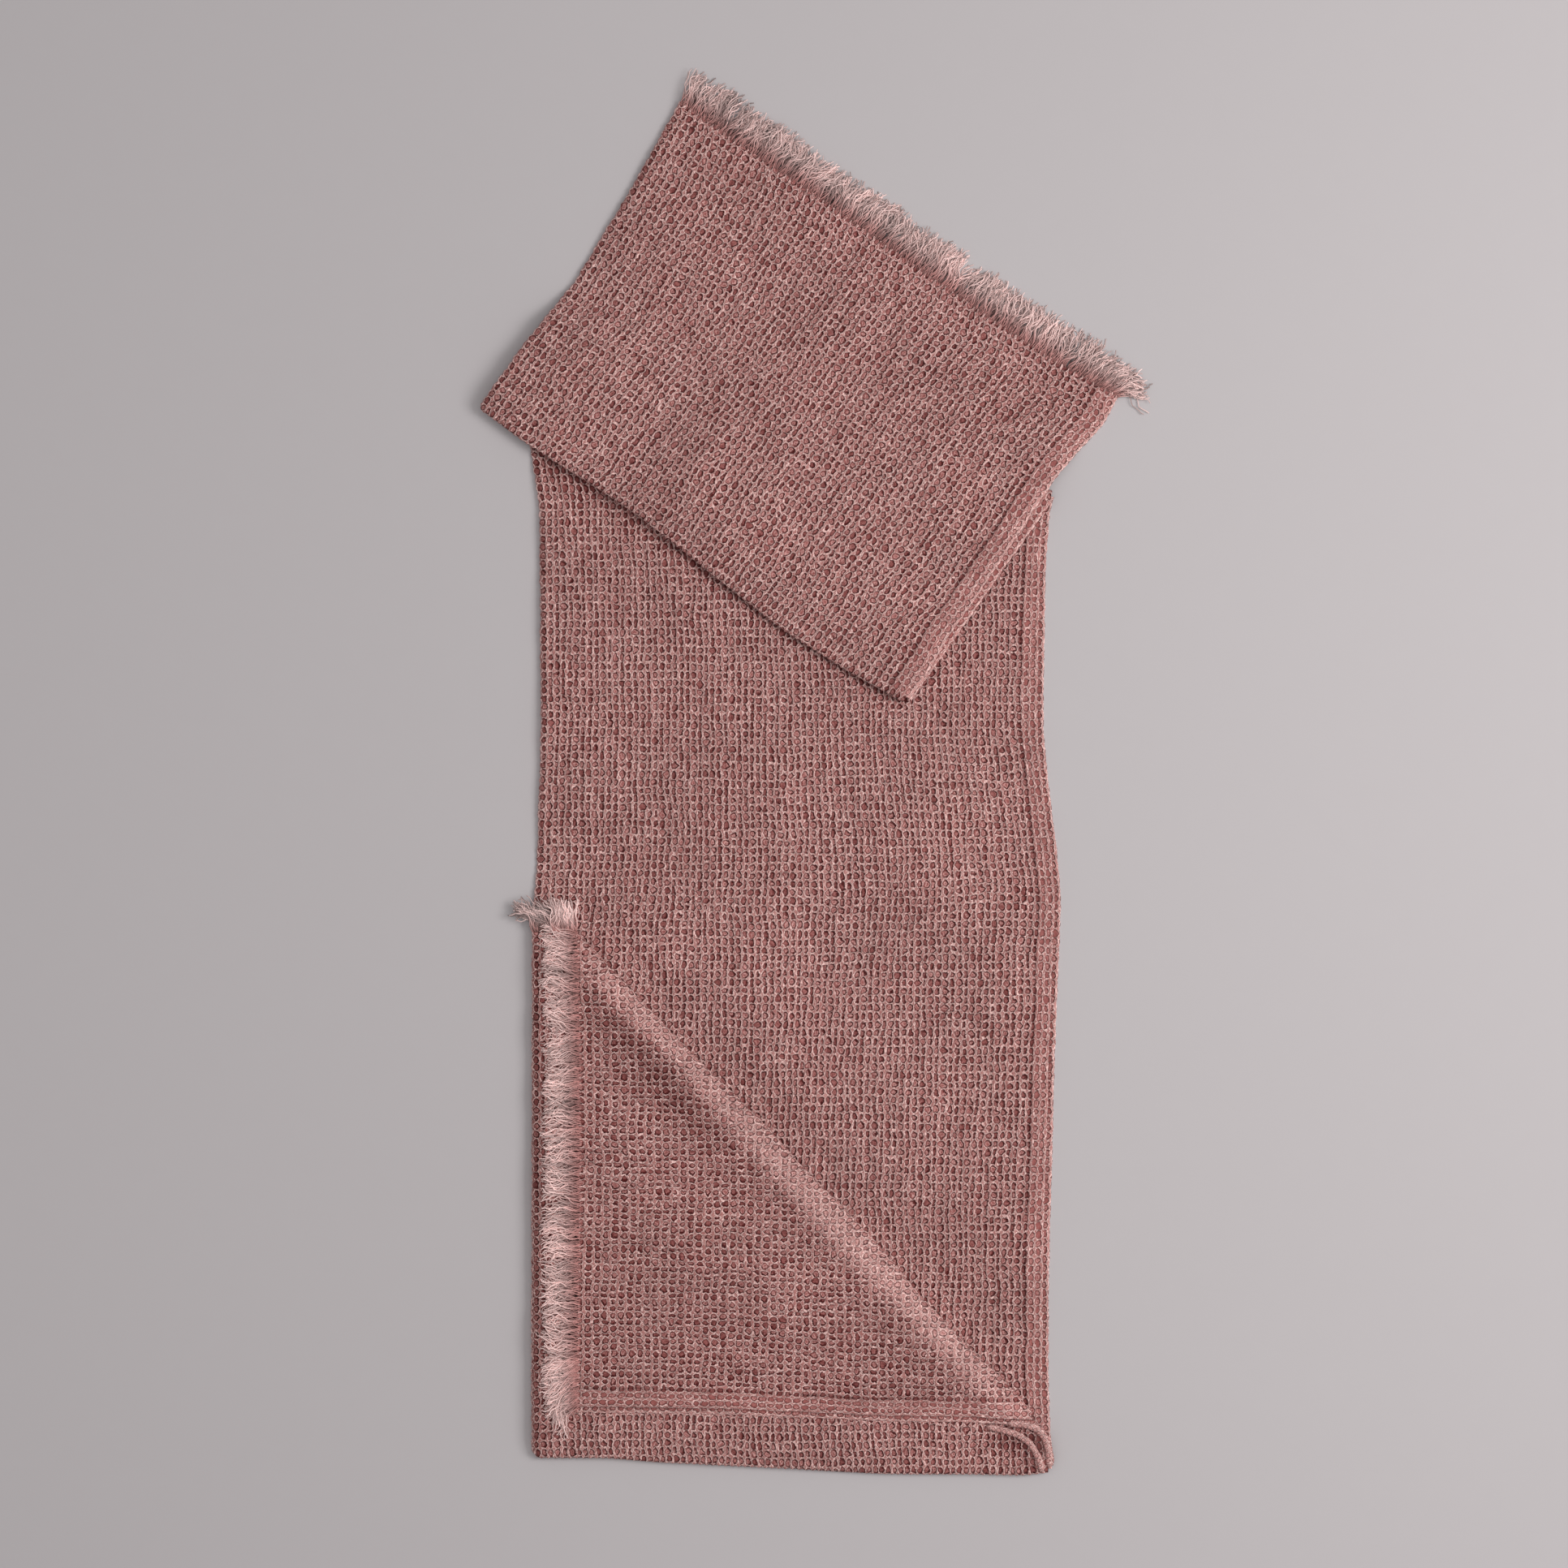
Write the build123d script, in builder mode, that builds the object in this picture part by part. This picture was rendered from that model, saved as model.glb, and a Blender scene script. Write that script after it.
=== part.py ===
from build123d import *
import os

# Table runner of waffle-weave cloth with fringed short ends and sewn long sides.
# It is folded in half along its length, so each run of it is two layers: the rounded spine
# fold is on one long side and the two hems lie on each other on the other long side.
# The strip is then laid in folds. From its top fringe it goes: top run, second crease,
# middle run, first crease, main run on the table, bottom fold, turn-up, and at last the
# turn-up's free corner is folded over a diagonal ridge to make the corner flap.
# Millimetres. +X across the runner, +Y along it, +Z up, origin under the outline's middle.

# Cloth
LAYER = 1.6  # thickness of one layer of waffle weave
LAYER_GAP = 0.2  # air between the two layers of a run
RUN_GAP = 0.6  # air between two runs that lie on each other
EDGE_GAP = 0.4  # from a run's edge to the crease that it turns at
HEM_WIDTH = 10.5  # turned and sewn hem on the long sides
HEM_STAGGER = 4.0  # the wide half's hem shows this far beyond the narrow half's
FRINGE = 24.0  # length of the loose warp ends
FRINGE_LEAN = 5.0  # how far their tips lean to one side

# Thread of the hem seam and of the row that locks the fringe
STITCH_LENGTH = 3.6
STITCH_PITCH = 5.2
THREAD = 0.7  # width of one stitch
THREAD_HEIGHT = 0.25  # how far it stands above the cloth
SEAM_INSET = 1.2  # from the hem's inner edge to the seam
LOCK_INSET = 3.0  # from the fringe's root to the locking row
SEAM_STOP = LOCK_INSET + 2 * THREAD  # where the hem seam ends, short of the locking row

# Heights. A run is two layers, and its level says how many runs it lies on.
RUN = 2 * LAYER + LAYER_GAP
LEVEL = RUN + RUN_GAP
SPINE_RADIUS = RUN / 2
ROLL_RADIUS = RUN + RUN_GAP / 2

# Fold lines seen from above, each from the spine side to the hem side
BOTTOM_FOLD = ((-172.6, -425.9), (152.4, -435.1))
CREASE_ONE = ((-177.6, 274.5), (151.4, 176.1))
CREASE_TWO = ((-207.6, 231.5), (60.4, 47.3))
TOP_END = ((-82.2, 421.5), (192.2, 239.5))
TURN_UP_END = (-172.6, -95.1)  # spine corner of the lower fringed end
RIDGE = ((-144.2, -97.7), (146.4, -405.7))
FLAP_CORNER = (-146.2, -396.1)


def corner(point):
    return Vector(point[0], point[1], 0)


def run_between(first, last):
    """Corners of a run from one fold line to the next. Its side 1 is the hem side."""
    return [corner(p) for p in (first[0], first[1], last[1], last[0])]


def centre_of(corners):
    return sum(corners, Vector(0, 0, 0)) / len(corners)


def inward_of(start, end, centre):
    """Level unit vector square to a side, towards the outline's centre."""
    side = (end - start).normalized()
    square = Vector(-side.Y, side.X, 0)
    return square if square.dot(centre - start) > 0 else -square


def inset_outline(corners, insets):
    """Corners of a convex outline after each side has moved inwards by its own inset."""
    centre = centre_of(corners)
    sides = []
    for start, end, inset in zip(corners, corners[1:] + corners[:1], insets):
        sides.append((start + inward_of(start, end, centre) * inset, end - start))
    moved = []
    for (p, u), (q, v) in zip(sides[-1:] + sides[:-1], sides):
        share = ((q.X - p.X) * v.Y - (q.Y - p.Y) * v.X) / (u.X * v.Y - u.Y * v.X)
        moved.append(p + u * share)
    return moved


def save(piece, name):
    piece.part.label = name
    export_step(piece.part, f"parts/{name}.step")


def make_slab(name, corners, z):
    """One flat stretch of a single layer, whose underside is at height z."""
    with BuildPart() as slab:
        with BuildSketch(Plane.XY.offset(z)):
            with BuildLine():
                Polyline(*[(c.X, c.Y) for c in corners], close=True)
            make_face()
        extrude(amount=LAYER)
    save(slab, name)


def make_turn(name, start, end, outward, z, inner, outer):
    """Half ring of cloth that turns back on itself about the level line from start to end."""
    axis_line = end - start
    across = Plane(
        origin=start + Vector(0, 0, z), x_dir=outward, z_dir=axis_line.normalized()
    )
    with BuildPart() as turn:
        with BuildSketch(across):
            Circle(outer)
            Circle(inner, mode=Mode.SUBTRACT)
            Rectangle(
                2 * outer, 2 * outer, align=(Align.MAX, Align.CENTER), mode=Mode.SUBTRACT
            )
        extrude(amount=axis_line.length)
    save(turn, name)


def make_stitches(name, start, end, z):
    """A straight row of equal stitches that lie on the cloth at height z."""
    row = end - start
    count = int(row.length // STITCH_PITCH)
    along = Plane(origin=(start + end) / 2 + Vector(0, 0, z), x_dir=row.normalized())
    with BuildPart() as stitches:
        with BuildSketch(along):
            with GridLocations(STITCH_PITCH, 0, count, 1):
                Rectangle(STITCH_LENGTH, THREAD)
        extrude(amount=THREAD_HEIGHT)
    save(stitches, name)


def make_layers(name, corners, insets, level, wide_layer):
    """Both layers of a run with their hems. insets holds one value for each side but the hem's."""
    for layer in ("lower", "upper"):
        z = level * LEVEL + (LAYER + LAYER_GAP if layer == "upper" else 0)
        edge = 0 if layer == wide_layer else HEM_STAGGER
        outline = inset_outline(corners, [insets[0], edge, *insets[1:]])
        panel = inset_outline(corners, [insets[0], edge + HEM_WIDTH, *insets[1:]])
        make_slab(f"{name}_{layer}_layer", panel, z)
        make_slab(f"{name}_{layer}_hem", [*outline[1:3], panel[2], panel[1]], z)


def make_spine(name, start, end, centre, level):
    """The lengthwise fold that joins the two layers of a run."""
    inward = inward_of(start, end, centre)
    shift = inward * SPINE_RADIUS
    trim = (end - start).normalized() * (2 * SPINE_RADIUS)
    z = level * LEVEL + RUN / 2
    ends = (start + shift + trim, end + shift - trim)
    make_turn(f"{name}_spine_fold", *ends, -inward, z, LAYER_GAP / 2, SPINE_RADIUS)


def make_fringe(name, start, end, centre, level, lean):
    """Loose warp ends of both layers beyond a fringed edge."""
    outward = -inward_of(start, end, centre)
    tips = outward * FRINGE + (end - start).normalized() * lean
    for layer, z in (("lower", 0), ("upper", LAYER + LAYER_GAP)):
        corners = [start, end, end + tips, start + tips]
        make_slab(f"{name}_{layer}_fringe", corners, level * LEVEL + z)


def make_fold(name, line, parent_centre, level):
    """The rolled cloth of a fold across the strip: one layer outside, the other inside it."""
    start, end = corner(line[0]), corner(line[1])
    outward = -inward_of(start, end, parent_centre)
    z = (level + 1) * LEVEL - RUN_GAP / 2
    split = RUN_GAP / 2 + LAYER
    make_turn(f"{name}_inner_roll", start, end, outward, z, RUN_GAP / 2, split)
    make_turn(f"{name}_outer_roll", start, end, outward, z, split + LAYER_GAP, ROLL_RADIUS)


def make_hem_seam(name, corners, insets, level, wide_layer):
    """Stitches along the inner edge of the upper hem of a run."""
    edge = 0 if wide_layer == "upper" else HEM_STAGGER
    depth = edge + HEM_WIDTH - SEAM_INSET
    seam = inset_outline(corners, [insets[0], depth, *insets[1:]])
    make_stitches(f"{name}_hem_stitches", seam[1], seam[2], level * LEVEL + RUN)


def make_fringe_lock(name, start, end, centre, level):
    """Stitches that stop the weave from coming loose at a fringed edge."""
    shift = inward_of(start, end, centre) * LOCK_INSET
    make_stitches(f"{name}_fringe_stitches", start + shift, end + shift, level * LEVEL + RUN)


os.makedirs("parts", exist_ok=True)

# Main run: it lies on the table and carries everything else.
main_corners = run_between(BOTTOM_FOLD, CREASE_ONE)
main_centre = centre_of(main_corners)
main_insets = [EDGE_GAP, EDGE_GAP, SPINE_RADIUS]
make_layers("main", main_corners, main_insets, 0, "lower")
make_spine("main", main_corners[0], main_corners[3], main_centre, 0)
make_hem_seam("main", main_corners, main_insets, 0, "lower")
make_fold("bottom_fold", BOTTOM_FOLD, main_centre, 0)
make_fold("crease_one", CREASE_ONE, main_centre, 0)

# Middle run: a short run under the top run, between the two creases.
middle_corners = run_between(CREASE_ONE, CREASE_TWO)
middle_centre = centre_of(middle_corners)
middle_insets = [EDGE_GAP, EDGE_GAP, SPINE_RADIUS]
make_layers("middle", middle_corners, middle_insets, 1, "upper")
make_spine("middle", middle_corners[0], middle_corners[3], middle_centre, 1)
make_fold("crease_two", CREASE_TWO, middle_centre, 1)

# Top run: it ends in the upper fringe.
top_corners = run_between(CREASE_TWO, TOP_END)
top_centre = centre_of(top_corners)
top_insets = [EDGE_GAP, 0, SPINE_RADIUS]
make_layers("top", top_corners, top_insets, 2, "lower")
make_spine("top", top_corners[0], top_corners[3], top_centre, 2)
make_hem_seam("top", top_corners, [EDGE_GAP, SEAM_STOP, SPINE_RADIUS], 2, "lower")
make_fringe("top", top_corners[3], top_corners[2], top_centre, 2, FRINGE_LEAN)
make_fringe_lock("top", top_corners[3], top_corners[2], top_centre, 2)

# Turn-up: the lower end, turned up over the main run, without its folded corner.
turn_up_corners = [corner(p) for p in (*BOTTOM_FOLD, RIDGE[1], RIDGE[0], TURN_UP_END)]
turn_up_centre = centre_of(turn_up_corners)
turn_up_insets = [EDGE_GAP, EDGE_GAP, 0, SPINE_RADIUS]
make_layers("turn_up", turn_up_corners, turn_up_insets, 1, "upper")
make_spine("turn_up", turn_up_corners[0], turn_up_corners[4], turn_up_centre, 1)
make_fringe("turn_up", turn_up_corners[4], turn_up_corners[3], turn_up_centre, 1, -FRINGE_LEAN)
make_fringe_lock("turn_up", turn_up_corners[4], turn_up_corners[3], turn_up_centre, 1)
make_fold("ridge", RIDGE, turn_up_centre, 1)

# Corner flap: the turn-up's corner, folded over the ridge.
flap_corners = [corner(p) for p in (*RIDGE, FLAP_CORNER)]
flap_centre = centre_of(flap_corners)
flap_insets = [EDGE_GAP, 0]
make_layers("flap", flap_corners, flap_insets, 2, "lower")
make_hem_seam("flap", flap_corners, [EDGE_GAP, SEAM_STOP], 2, "lower")
make_fringe("flap", flap_corners[0], flap_corners[2], flap_centre, 2, FRINGE_LEAN)
make_fringe_lock("flap", flap_corners[0], flap_corners[2], flap_centre, 2)
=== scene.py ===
import math

import bpy
import numpy as np
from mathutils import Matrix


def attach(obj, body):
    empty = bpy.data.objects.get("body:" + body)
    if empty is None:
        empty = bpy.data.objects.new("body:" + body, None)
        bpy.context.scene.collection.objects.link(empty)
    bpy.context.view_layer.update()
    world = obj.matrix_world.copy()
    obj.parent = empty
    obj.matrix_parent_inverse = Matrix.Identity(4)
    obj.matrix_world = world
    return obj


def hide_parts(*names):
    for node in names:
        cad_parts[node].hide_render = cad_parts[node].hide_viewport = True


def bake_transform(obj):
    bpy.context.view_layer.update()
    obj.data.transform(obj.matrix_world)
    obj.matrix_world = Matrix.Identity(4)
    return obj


# Looks of a doubled waffle-weave runner that lies in folds. Lengths are in millimetres until
# a mesh is made. Each run of the cloth has its own grid: u goes across it from the spine to
# the hems, and v along it. A cell of the weave spans one unit of the "weave" UV map each way,
# in the meshes and in the material alike. The "shade" UV map holds cell_shade.

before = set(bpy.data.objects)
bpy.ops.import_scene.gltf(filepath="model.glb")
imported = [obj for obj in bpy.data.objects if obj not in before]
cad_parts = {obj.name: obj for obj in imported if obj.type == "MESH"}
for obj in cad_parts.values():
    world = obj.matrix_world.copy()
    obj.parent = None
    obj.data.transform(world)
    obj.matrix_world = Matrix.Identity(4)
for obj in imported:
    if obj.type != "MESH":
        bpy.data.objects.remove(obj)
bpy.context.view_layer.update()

MM = 0.001
scene = bpy.context.scene

# Cloth
CELL_U = 4.13
CELL_V = 5.25
WIDTH = 323.0  # doubled width, spine to the outer hem
LEVEL = 4.0  # from one run to the next one up
LOWER_FACE = 0.35  # height of a run's lower layer above the run's base
UPPER_FACE = 3.2  # height of its upper layer
HEM = 10.5
STAGGER = 4.0  # the wide layer's hem shows this far beyond the narrow one's
SPINE = 1.7
FLAP_START, RIDGE_START = 5, 25  # u where the flap's layers and its ridge begin
CLEARANCE = 0.03  # lowest that the cloth comes to the table
PIT_WIDTH = 0.86  # share of a cell's width that its pit takes
PIT_HEIGHT = 1.0  # and of its length
ROUNDNESS = 2.4  # of a pit: 2 is an ellipse, and more is squarer
HEM_EDGE = 0.8  # half thickness of a hem's rounded outer edge
CURL_THICKNESS = 3.0  # of a hem that curls over
SEAM_INSET = 1.2  # from the hem's inner edge to its stitches
FRINGE_ROW_INSET = 3.0  # from the fringe's root to the row of stitches that locks it
FRINGE_RADIUS = 0.3
SEWING_RADIUS = 0.22
STITCH, STITCH_PITCH = 3.4, 5.2
FRINGE_PITCH, FRINGE_CLUMP = 0.45, 14.0
TUFT_PITCH, TUFT_CLUMP = 0.27 * FRINGE_PITCH, 5.0  # of the turn-up's two corner tufts
LAYER_RELIEF, HEM_RELIEF, SPINE_RELIEF = 0.42, 0.26, 0.3  # of the waffle cells
OUTER_FOLD_RELIEF, INNER_FOLD_RELIEF = 0.36, 0.1
FINE_U = (0.0, 0.2, 0.5, 0.8)  # where a visible cell has its vertices
FINE_V = (0.0, 0.16, 0.5, 0.84)
COARSE = (0.0, 0.5)

# Fold lines of the CAD model, from the spine side to the hem side
BOTTOM_FOLD = ((-172.6, -425.9), (152.4, -435.1))
CREASE_ONE = ((-177.6, 274.5), (151.4, 176.1))
CREASE_TWO = ((-207.6, 231.5), (60.4, 47.3))
RIDGE = ((-144.2, -97.7), (146.4, -405.7))

rng = np.random.default_rng(7)
CELL_TABLE = rng.random((256, 256, 4))


def smooth(x):
    x = np.clip(x, 0, 1)
    return x * x * (3 - 2 * x)


def bell(x, middle, width):
    """1 at middle, falling to 0 on both sides."""
    return np.exp(-(((x - middle) / width) ** 2))


NOISE_TABLE = rng.random((16, 64, 64)) * 2 - 1


def noise(x, y, size, layer):
    """Smooth noise from -1 to 1 whose bumps are about size wide."""
    gx, gy = np.asarray(x) / size + 31.7 * layer, np.asarray(y) / size + 17.3 * layer
    ix, iy = np.floor(gx).astype(int), np.floor(gy).astype(int)
    fx, fy = smooth(gx - ix), smooth(gy - iy)
    table = NOISE_TABLE[layer % 16]

    def at(i, j):
        return table[i % 64, j % 64]

    low = at(ix, iy) * (1 - fx) + at(ix + 1, iy) * fx
    high = at(ix, iy + 1) * (1 - fx) + at(ix + 1, iy + 1) * fx
    return low * (1 - fy) + high * fy


def curve_through(points, softness=4.0):
    """Function y(x) through points, with its corners softened."""
    xs, ys = np.array(points, float).T
    order = np.argsort(xs)
    xs, ys = xs[order], ys[order]
    dense = np.arange(xs[0] - 40, xs[-1] + 40, 1.0)
    flat = np.interp(dense, xs, ys)
    reach = int(3 * softness)
    kernel = np.exp(-0.5 * (np.arange(-reach, reach + 1) / softness) ** 2)
    kernel /= kernel.sum()
    soft = np.convolve(np.pad(flat, reach, mode="edge"), kernel, mode="valid")
    return lambda x: np.interp(x, dense, soft)


class Line:
    """A fold or end line seen from above. Distances are positive on the side of inside."""

    def __init__(self, start, end, inside, inset=0.0):
        start, end, inside = (np.array(p, float) for p in (start, end, inside))
        self.along = (end - start) / np.linalg.norm(end - start)
        self.inward = np.array([-self.along[1], self.along[0]])
        if (inside - start) @ self.inward < 0:
            self.inward = -self.inward
        self.start = start + self.inward * inset

    def distance(self, xy):
        return (xy - self.start) @ self.inward


class Run:
    """One stretch of the doubled cloth: how (u, v) goes to (x, y), and how high it lies. offset
    is its first cell, and wide_upper says that its upper layer is the wide one."""

    def __init__(self, body, level, origin, along, across, hem_edge, spine_edge=None,
                 end_edge=None, offset=(0, 0), wide_upper=False):
        self.body, self.level, self.offset, self.wide_upper = body, level, offset, wide_upper
        self.origin = np.array(origin, float)
        self.along = np.array(along, float) / np.linalg.norm(along)
        self.across = np.array(across, float) / np.linalg.norm(across)
        self.hem = curve_through([self.local(p)[::-1] for p in hem_edge])
        if spine_edge:
            self.spine = curve_through([self.local(p)[::-1] for p in spine_edge])
        else:
            self.spine = lambda v: self.hem(v) - WIDTH
        self.end = None
        if end_edge:
            points = [self.local(p) for p in end_edge]
            self.end = curve_through(points)
            self.end_at = float(np.mean([p[1] for p in points]))

    def local(self, point):
        shift = np.array(point, float) - self.origin
        return float(shift @ self.across), float(shift @ self.along)

    def plan(self, u, v):
        """(x, y) of cloth points."""
        seed = 1 + self.level
        side = 0.9 * noise(u, v, 15, seed) + 1.4 * noise(u, v, 60, seed + 3)
        length = 0.9 * noise(u, v, 17, seed + 6) + 1.6 * noise(u, v, 70, seed + 9)
        edge = smooth(np.minimum(u, WIDTH - u) / 25)
        x = self.spine(v) + (self.hem(v) - self.spine(v)) * u / WIDTH + side * edge
        y = v + length
        if self.end:
            bow = self.end(x) - self.end_at
            y = y + bow * smooth(v / self.end_at) - length * smooth(v - self.end_at + 3)
        return self.origin + x[..., None] * self.across + y[..., None] * self.along


def cells(u, v, run):
    """Cell coordinates of cloth points."""
    return u / CELL_U + run.offset[0], v / CELL_V + run.offset[1]


def relief(cu, cv, depth):
    """Height of the waffle cells: thin raised walls between them, and a pit in each whose
    middle stands a little higher than its rim."""
    iu, iv = np.floor(cu).astype(int), np.floor(cv).astype(int)
    fu, fv = cu - iu, cv - iv
    ru, rv = np.abs(fu - 0.5) * 2, np.abs(fv - 0.5) * 2
    chance = CELL_TABLE[iu % 256, iv % 256]
    reach = (ru / PIT_WIDTH) ** ROUNDNESS + (rv / PIT_HEIGHT) ** ROUNDNESS
    reach = reach ** (1 / ROUNDNESS)
    wall = smooth((reach - 0.55) / 0.45) * (0.75 + 0.25 * smooth((ru - rv + 0.4) / 0.8))
    pit = (0.6 + 0.8 * chance[..., 0]) * (1 - 0.4 * (1 - smooth(reach / 0.6)))
    return depth * (1.1 * wall - pit * (1 - wall))


def wander(u, v):
    """How strongly, and which way, neighbouring walls lean together at a place."""
    lean = 1.5 * noise(u, v, 11, 13) + 1.2 * noise(u, v, 5.5, 14) + 0.2
    return np.clip(lean, -1, 1)


def weave_shift(run, cu, cv, u, v):
    """Shift in the cloth's plane that bends the walls, so that wide and narrow cells alternate."""
    lean = wander(u, v)
    aside = 0.2 * CELL_U * lean * np.cos(math.pi * cu) * np.sin(math.pi * cv) ** 2
    bow = 0.22 * CELL_V * noise(u, v, 8, 15) * np.sin(math.pi * cu) ** 2
    bow = bow * np.cos(2 * math.pi * (cv - np.floor(cv)))
    return aside[..., None] * run.across + bow[..., None] * run.along


# ---------------- outlines seen from above

MAIN_SPINE = [(-177.6, 275), (-177, 207.6), (-170.9, 172.1), (-169.9, 29.8), (-172.4, -51.5),
              (-175.5, -97.2), (-176, -421.8), (-174, -425.9)]
MAIN_HEM = [(151, 176.1), (148.6, 170), (146.1, 136.5), (145.1, 81.6), (144.5, 29.8),
            (147.6, -2.7), (151.7, -34.7), (155.7, -73.8), (154.2, -112.4), (151.7, -173.4),
            (148.1, -305.5), (147.6, -373.5), (149.1, -412.1), (150.6, -430.4)]
TURN_UP_SPINE = [(-174.8, -94), (-174.9, -160), (-174.6, -300), (-174.8, -421), (-173, -426)]
TURN_UP_HEM = [(148, -300), (148, -400), (149, -420), (149.5, -431)]
TOP_SPINE = [(-209, 231.5), (-193.3, 252.3), (-181.6, 269.6), (-168.9, 284.8),
             (-149.1, 310.7), (-133.3, 336.7), (-113.5, 369.2), (-83, 424)]
TOP_HEM = [(191.8, 240.1), (180.1, 218.8), (165.9, 203.1), (151.2, 186.8), (140, 170.5),
           (129.8, 154.3), (112, 128.4), (100.9, 110.6), (83.1, 86.2), (73.4, 68.4),
           (58.7, 47.1)]
TOP_END = [(-83, 424), (-52, 401.7), (-3.8, 369.2), (53.6, 328.5), (118.6, 283.3),
           (151.2, 262), (188.2, 241.2)]
FLAP_HEM = [(150, -406), (131, -404), (99, -402.5), (50, -402), (-51, -397.5),
            (-100, -396.5), (-153, -396)]
FLAP_END = [(-147.2, -90), (-146, -150), (-145.6, -250), (-146.6, -350), (-147.4, -400)]

main = Run("main_run", 0, (0, 0), (0, 1), (1, 0), MAIN_HEM, MAIN_SPINE, offset=(40, 100))
middle = Run("middle_run", 1, (-142, 375), (-0.561, -0.828), (0.828, -0.561),
             [(209.1, 257.8), (151.4, 176.1), (60.4, 47.3), (2.7, -34.4)],
             [(-120.4, 356.5), (-177.6, 274.5), (-207.6, 231.5), (-264.8, 149.5)],
             offset=(140, 40), wide_upper=True)
top = Run("top_run", 2, (-74.3, 139.4), (0.561, 0.828), (0.828, -0.561), TOP_HEM, TOP_SPINE,
          TOP_END, offset=(20, 200))
turn_up = Run("turn_up", 1, (0, -430), (0, 1), (1, 0), TURN_UP_HEM, TURN_UP_SPINE,
              [(-175, -96.5), (0, -96.5), (150, -96.5)], offset=(60, 20), wide_upper=True)
flap = Run("corner_flap", 2, (146, -400), (-1, 0), (0, -1), FLAP_HEM, None, FLAP_END,
           offset=(90, 60))

# a point well inside each run
MAIN_MIDDLE, MIDDLE_MIDDLE, TOP_MIDDLE = (-10, -100), (-60, 185), (-10, 250)
TURN_UP_MIDDLE, FLAP_MIDDLE = (-60, -330), (-60, -300)
# how far short of its fold line the flat cloth stops
BOTTOM_INSET, ONE_INSET, TWO_INSET, RIDGE_INSET = 3.0, 0.6, 2.0, 3.2

bottom_main = Line(*BOTTOM_FOLD, MAIN_MIDDLE, BOTTOM_INSET)
bottom_turn_up = Line(*BOTTOM_FOLD, TURN_UP_MIDDLE, BOTTOM_INSET)
one_main = Line(*CREASE_ONE, MAIN_MIDDLE, ONE_INSET)
one_middle = Line(*CREASE_ONE, MIDDLE_MIDDLE, ONE_INSET)
two_middle = Line(*CREASE_TWO, MIDDLE_MIDDLE, TWO_INSET)
two_top = Line(*CREASE_TWO, TOP_MIDDLE, TWO_INSET)
ridge_turn_up = Line(*RIDGE, TURN_UP_MIDDLE, RIDGE_INSET)
ridge_flap = Line(*RIDGE, FLAP_MIDDLE, RIDGE_INSET)


# ---------------- heights

ALL_FOLDS = [bottom_main, one_main, two_top, ridge_flap]
DIP_AT = np.array([-104.0, -176.0])  # where the flap sinks beside its ridge
HOLLOW_SHADE_AT = np.array([-98.0, -182.0])  # painted shade on the cloth in the hollow there
UNDER_CURL_AT = np.array([124.0, -414.5])  # the shade of the curled hems
# where painted shade lies between the curled hems
BETWEEN_CURLS_AT = np.array([140.5, -421.0])


def lift(xy):
    """Soft undulation of everything above the bottom layer. It dies out at the folds."""
    x, y = xy[..., 0], xy[..., 1]
    wave = 0.55 + 0.5 * noise(x, y, 46, 2) + 0.35 * noise(x, y, 21, 5)
    wave = wave + 0.45 * noise(x * 0.56 + y * 0.83, y * 0.56 - x * 0.83, 90, 8)
    keep = 1.0
    for line in ALL_FOLDS:
        fade = 30 if line is ridge_flap else 12
        keep = keep * smooth(np.abs(line.distance(xy)) / fade - 0.25)
    return np.maximum(wave, 0.05) * keep * 1.5


def support(xy, line, reach):
    """1 over the run that ends at line and 8 mm past it, and 0 from reach further on."""
    return smooth((line.distance(xy) + 8 + reach) / reach)


two_main = Line(*CREASE_TWO, MAIN_MIDDLE)
TWO_LENGTH = math.dist(*CREASE_TWO)
main_left = Line((-172.5, -425), (-172.5, 275), MAIN_MIDDLE)
main_right = Line((147, -425), (147, 176), MAIN_MIDDLE)
middle_right = Line((151.4, 176.1), (60.4, 47.3), MIDDLE_MIDDLE)


def top_drop(xy):
    """How far the top run sinks where nothing lies under it."""
    on_main = support(xy, one_main, 34) * support(xy, main_left, 30)
    on_main = on_main * support(xy, main_right, 30)
    on_middle = support(xy, one_main, 34) * support(xy, middle_right, 22)
    from_fold = smooth((two_top.distance(xy) - 6) / 60)
    return LEVEL * (2 - on_main - on_middle) * from_fold


def oval(xy, middle, length, width, line):
    """1 at middle, falling to 0 around it. length is along the line, and width is across."""
    away = xy - middle
    return bell(away @ line.along, 0, length) * bell(away @ line.inward, 0, width)


def rise(run, upper, xy):
    """Height of a layer's surface, without its relief."""
    z = run.level * LEVEL + (UPPER_FACE if upper else LOWER_FACE)
    z = z + lift(xy) * (0.12 if run is main and not upper else 1.0)
    if run is top:
        z = z - top_drop(xy)
        if upper:
            z = z - 1.9 * np.clip(1 - two_top.distance(xy) / 11, 0, 1) ** 2
    if run is main and upper:  # room for the crest of the corner flap when it is opened
        z = z - 1.1 * bell(ridge_flap.distance(xy), -14, 9)
        z = z - 1.2 * bell(two_main.distance(xy), 3, 7)  # pressed by the fold
    if run is turn_up and upper:
        z = z - 1.6 * np.clip(1 - bottom_turn_up.distance(xy) / 9, 0, 1) ** 2
    if run is flap:
        d = ridge_flap.distance(xy)
        crest = 2.3 * bell(d, 12, 9)
        if upper:
            valley = 0.9 * bell(d, 36, 17)
            dip = 1.3 * oval(xy, DIP_AT, 34, 9, ridge_flap)
            z = z + crest - (valley + dip) - 1.7 * np.clip(1 - d / 12, 0, 1) ** 2
        else:
            z = z + 0.55 * crest
        z = np.maximum(z, 2 * LEVEL + (1.2 if upper else 0.1))
    return z


# ---------------- meshes

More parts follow.
